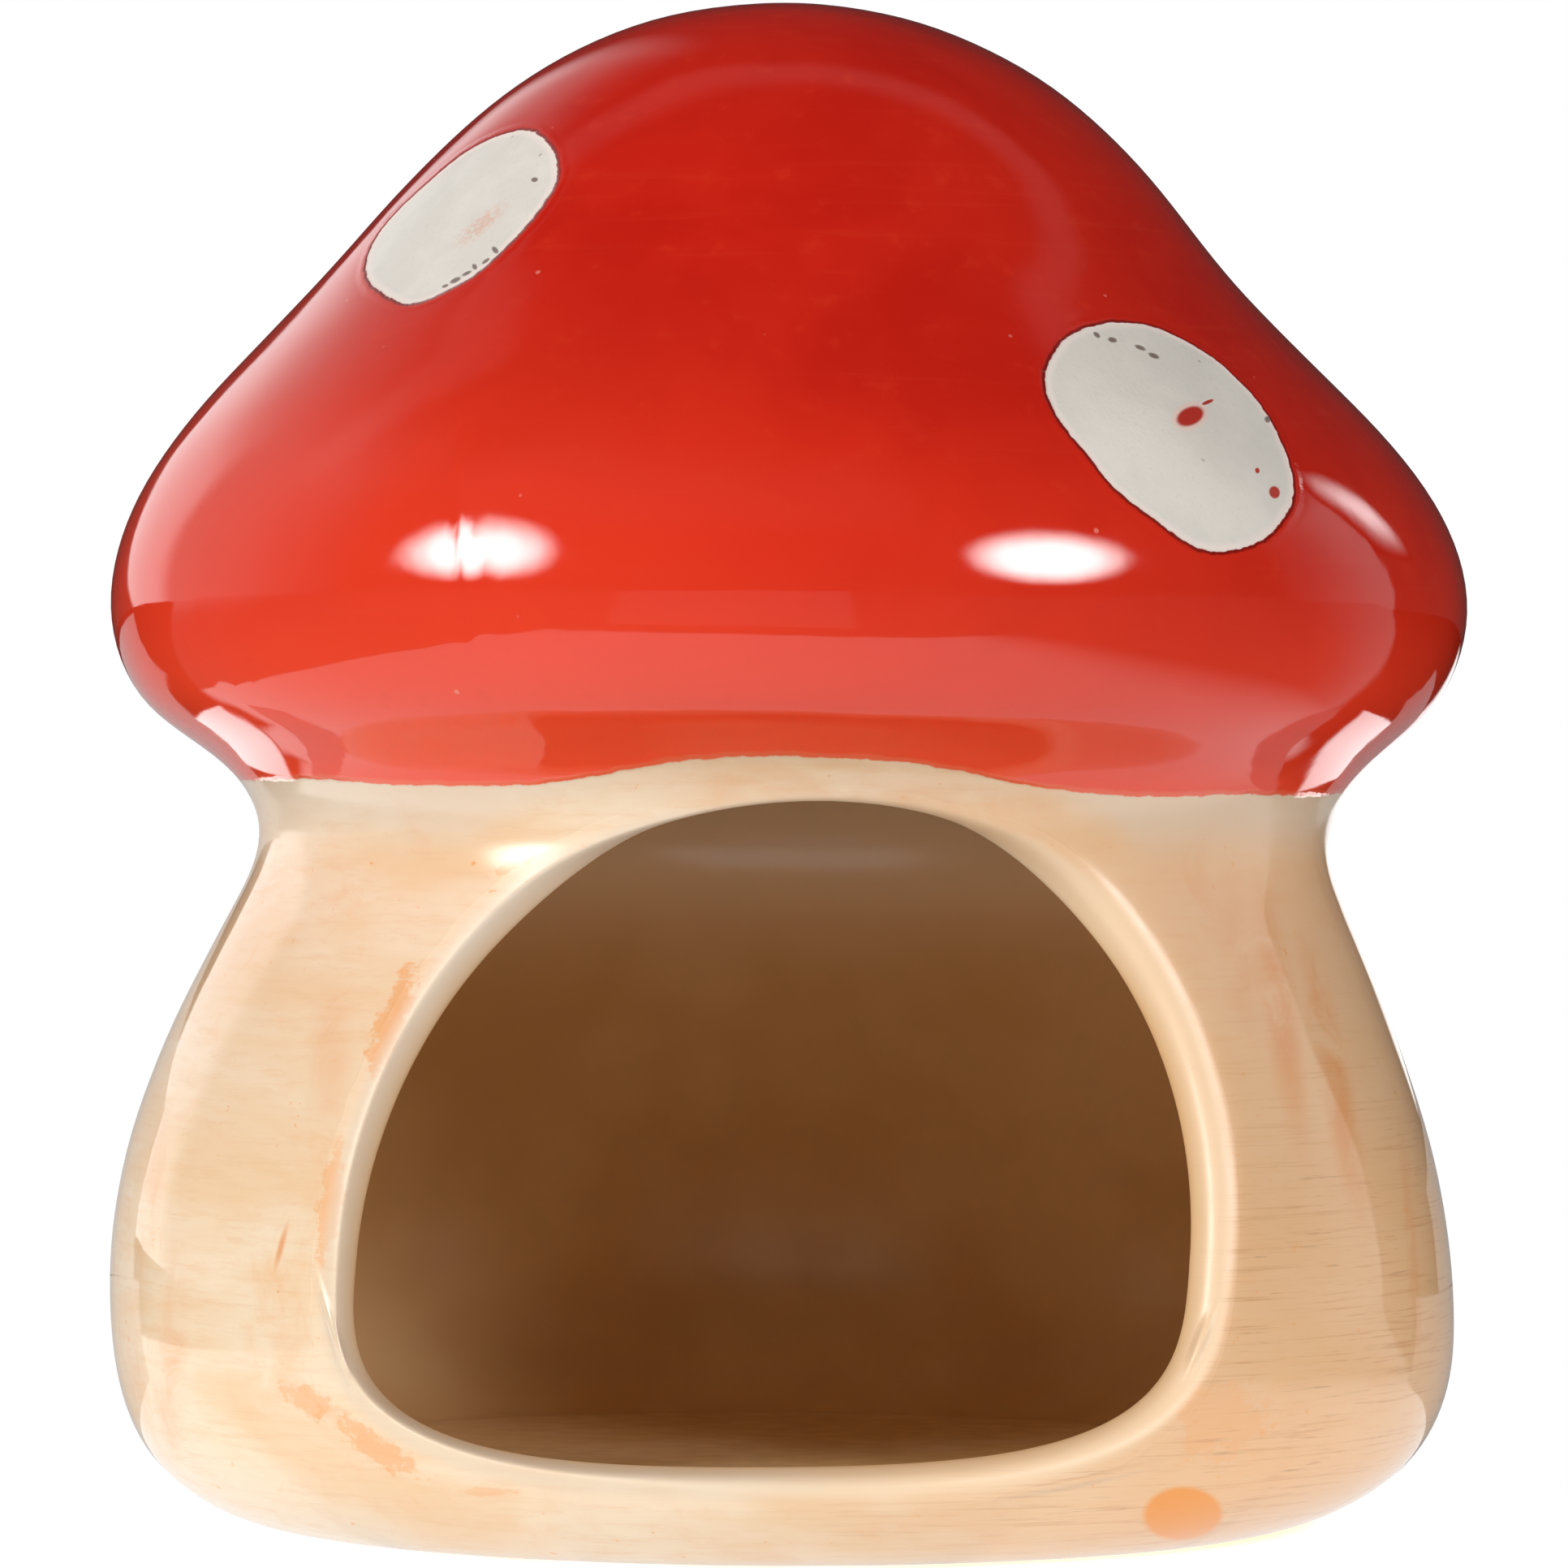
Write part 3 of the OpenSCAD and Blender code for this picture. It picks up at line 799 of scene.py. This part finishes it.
def card(name, centre, size, strength, turn=0, tilt=90, soft=0.02):
    """A card that shows only in the glaze. At tilt 90 it is upright, and at turn 0 its length lies
    along X. It fades towards its edges over the soft share of its size."""
    bpy.ops.mesh.primitive_plane_add(size=1, location=centre)
    ob = bpy.context.object
    ob.name = name
    ob.scale = (*size, 1)
    ob.rotation_euler = (math.radians(tilt), 0, math.radians(turn))
    material = bpy.data.materials.new(name)
    material.use_nodes = True
    g = Graph(material.node_tree)
    where = g.add("ShaderNodeTexCoord").outputs["Object"]
    across, up, _out = g.add("ShaderNodeSeparateXYZ", {0: where}).outputs
    fades = [g.step(g.math("ABSOLUTE", v), 0.5, 0.5 - soft / 2) for v in (across, up)]
    glow = g.times(*fades, strength)
    emission = g.add("ShaderNodeEmission", {"Color": (1, 1, 1, 1), "Strength": glow})
    g.add("ShaderNodeOutputMaterial", {0: emission.outputs[0]})
    ob.data.materials.append(material)
    ob.visible_camera = ob.visible_diffuse = ob.visible_shadow = ob.visible_transmission = False


card("low_wall_left", (-0.108, 0.2, 0.0365), (0.216, 0.073), 0.5)
card("low_wall_right", (0.09, 0.2, 0.02), (0.18, 0.04), 0.35)
card("skirt_left", (-0.0725, 0.035, 0.01), (0.065, 0.02), 0.5)
card("skirt_right", (0.0775, 0.035, 0.01), (0.075, 0.02), 0.35)
card("ledge_right", (0.062, 0.2, 0.0585), (0.125, 0.037), 1.4, soft=0.2)
card("lamp_right", (0.206, 0.09, 0.188), (0.09, 0.108), 4.0, turn=66, soft=0.9)
card("under_left", (-0.109, 0.15, 0.001), (0.042, 0.12), 2.3, tilt=0, soft=0.15)
card("under_right", (0.121, 0.165, 0.001), (0.044, 0.15), 2.3, tilt=0, soft=0.15)


def softbox(name, azimuth, elevation, distance, size, strength, mirrored=True):
    """A soft light, brightest in its middle, in direction azimuth (degrees to the right of the
    camera's side) and elevation. The glaze mirrors it only where mirrored is true."""
    az, el = math.radians(azimuth), math.radians(elevation)
    away = Vector((math.sin(az) * math.cos(el), -math.cos(az) * math.cos(el), math.sin(el)))
    light = bpy.data.lights.new(name, "AREA")
    light.shape = "RECTANGLE"
    light.size, light.size_y = size
    light.energy = 4 * size[0] * size[1]
    light.use_nodes = True
    g = Graph(light.node_tree)
    across = g.add("ShaderNodeNewGeometry").outputs["Parametric"]
    to_middle = {"Vector": across, "Location": (-1, -1, 0), "Scale": (2, 2, 0)}
    centred = g.add("ShaderNodeMapping", to_middle)
    glow = g.step(g.length(centred.outputs[0]), 1.0, 0.35)
    emission = g.add("ShaderNodeEmission", {"Color": (1, 1, 1, 1),
                                            "Strength": g.times(glow, strength)})
    g.add("ShaderNodeOutputLight", {0: emission.outputs[0]})
    ob = bpy.data.objects.new(name, light)
    ob.location = LIT_POINT + away * distance
    ob.rotation_euler = (-away).to_track_quat("-Z", "Y").to_euler()
    ob.visible_camera = False
    ob.visible_glossy = mirrored
    scene.collection.objects.link(ob)


softbox("key_left", -53.5, 18.5, 1.0, (0.56, 0.6), 15.5)
softbox("key_right", 44, 20, 1.0, (0.5, 0.52), 15.0)
softbox("fill_back", 180, 12, 1.2, (0.8, 0.5), 9.0, mirrored=False)


def studio():
    """A dim studio: a paler wall on the left, a bright strip on the right, white at the back."""
    world = bpy.data.worlds.new("studio")
    world.use_nodes = True
    g = Graph(world.node_tree)
    direction = g.add("ShaderNodeTexCoord").outputs["Generated"]
    x, y, z = g.add("ShaderNodeSeparateXYZ", {0: direction}).outputs
    turn = g.times(g.math("ARCTAN2", x, g.times(y, -1.0)), 180 / math.pi)
    rise = g.times(g.math("ARCSINE", z), 180 / math.pi)
    edge = g.step(g.sum(turn, g.times(rise, 1.2)), -147, -144)
    wall = g.times(g.step(turn, -70, -110, 0.0, 0.6), edge, g.step(turn, -170, -160),
                   g.window(rise, -40, 46, 12), 0.9)
    left = g.times(edge, g.window(turn, -165, -128, 4), g.window(rise, -20, 30, 8), 0.75)
    strip = g.times(g.step(turn, 88, 116, 0.2, 1.0), g.step(turn, 120.5, 119.5),
                    g.step(turn, 84, 92), g.window(rise, -40, 34, 5), 0.6)
    over = g.times(g.window(turn, -70, 25, 10), g.window(rise, 35, 62, 8), 0.08)
    slant = g.math("DIVIDE", y, g.most(z, 0.1))
    beam = g.times(g.window(slant, 0.27, 0.44, 0.06), g.step(z, 0.5, 0.7), 0.15)
    everything = g.sum(wall, left, strip, over, beam, 0.035)
    path = g.add("ShaderNodeLightPath").outputs
    behind = g.step(y, 0.998, 0.9995)
    mirrored = g.most(path["Is Glossy Ray"], path["Is Transmission Ray"])
    white = g.most(path["Is Camera Ray"], g.times(mirrored, behind))
    strength = g.add("ShaderNodeMix", {0: white, 2: everything, 3: 1.0}).outputs[0]
    back = g.add("ShaderNodeBackground", {"Color": (1, 1, 1, 1), "Strength": strength})
    g.add("ShaderNodeOutputWorld", {0: back.outputs[0]})
    return world


scene.world = studio()

# The photograph's width and the lens's focal length, both in pixels of the photograph, and the
# camera's place and roll.
PHOTO_WIDTH, FOCAL_LENGTH = 1932, 9317
SENSOR = 36
CAMERA_AT = (-0.0004, -0.7, 0.068)
ROLL = math.radians(0.3)

camera = bpy.data.cameras.new("camera")
camera.sensor_width = SENSOR
camera.lens = FOCAL_LENGTH / PHOTO_WIDTH * SENSOR
cam = bpy.data.objects.new("camera", camera)
cam.matrix_world = (Matrix.Translation(CAMERA_AT) @ Matrix.Rotation(math.radians(90), 4, "X")
                    @ Matrix.Rotation(ROLL, 4, "Z"))
scene.collection.objects.link(cam)
scene.camera = cam
scene.view_settings.view_transform = "Standard"
